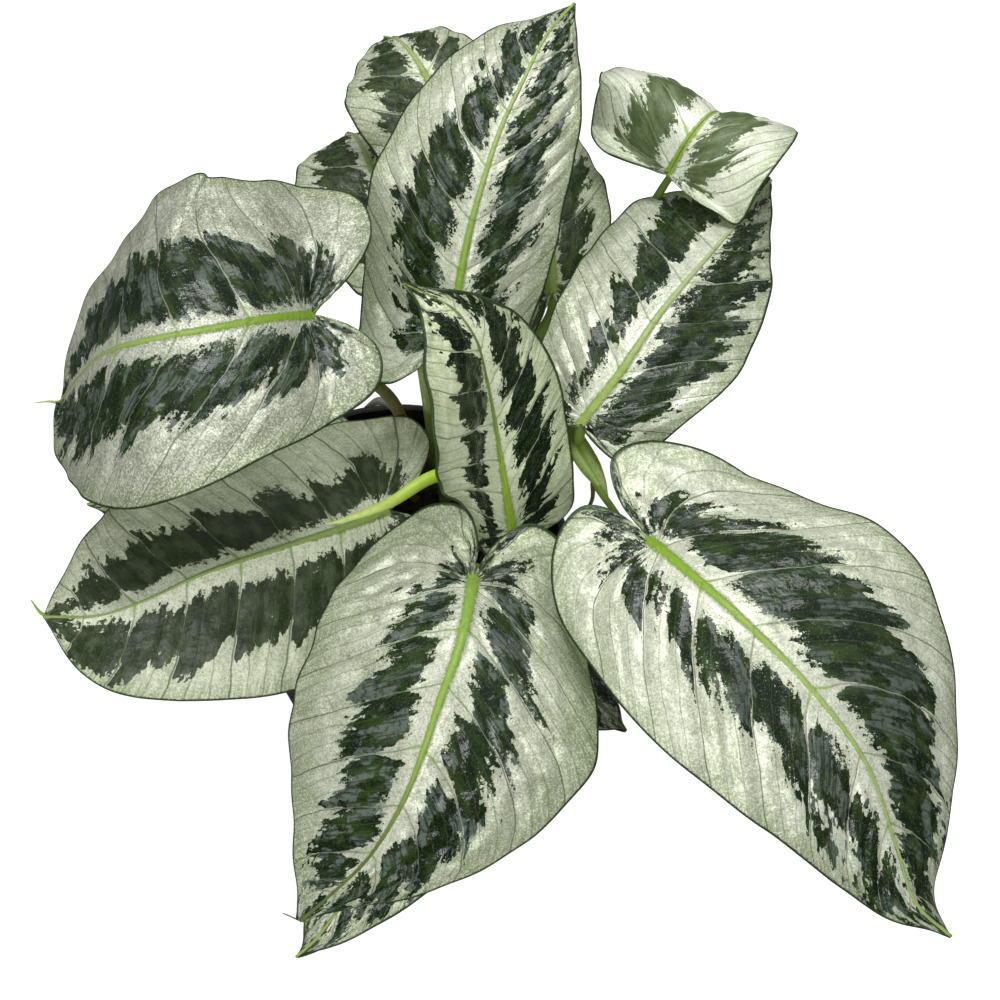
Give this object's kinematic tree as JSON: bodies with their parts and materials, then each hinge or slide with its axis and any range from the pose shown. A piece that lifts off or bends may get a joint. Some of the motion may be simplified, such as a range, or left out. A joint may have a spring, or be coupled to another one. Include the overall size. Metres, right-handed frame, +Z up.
{
  "type": "potted schismatoglottis",
  "caption": "Potted foliage plant with arching pointed silver leaves, dark feathered bands and slender stalks, in a tapered nursery pot.",
  "frame": {"origin": "centre of the pot's underside", "axes": "+Z up along the pot's axis, -Y towards the side the plant is seen from"},
  "size_m": [0.3247, 0.3567, 0.2832],
  "materials": {
    "pot_plastic": "thin black nursery plastic, satin",
    "potting_soil": "dark moist potting soil with bark chunks, matt",
    "leaf": "silver-green leaf with a dark green feathered band each side of the midrib, satin",
    "stem": "smooth green leaf stalk, satin",
    "new_leaf": "yellow-green rolled young leaf, satin"
  },
  "bodies": {
    "root": {"pot": "pot_plastic", "soil": "potting_soil", "blade_left": "leaf", "blade_low_left": "leaf", "blade_front": "leaf", "blade_front_under": "leaf", "blade_front_right": "leaf", "blade_right": "leaf", "blade_far_right": "leaf", "blade_back": "leaf", "blade_centre": "leaf", "blade_back_left": "leaf", "blade_far_left": "leaf", "blade_back_right": "leaf", "blade_hidden_left": "leaf", "blade_hidden_front": "leaf", "petiole_left": "stem", "petiole_low_left": "stem", "petiole_front": "stem", "petiole_front_under": "stem", "petiole_front_right": "stem", "petiole_right": "stem", "petiole_far_right": "stem", "petiole_back": "stem", "petiole_centre": "stem", "petiole_back_left": "stem", "petiole_far_left": "stem", "petiole_back_right": "stem", "petiole_hidden_left": "stem", "petiole_hidden_front": "stem", "rolled_leaf": "new_leaf"}
  },
  "joints": []
}
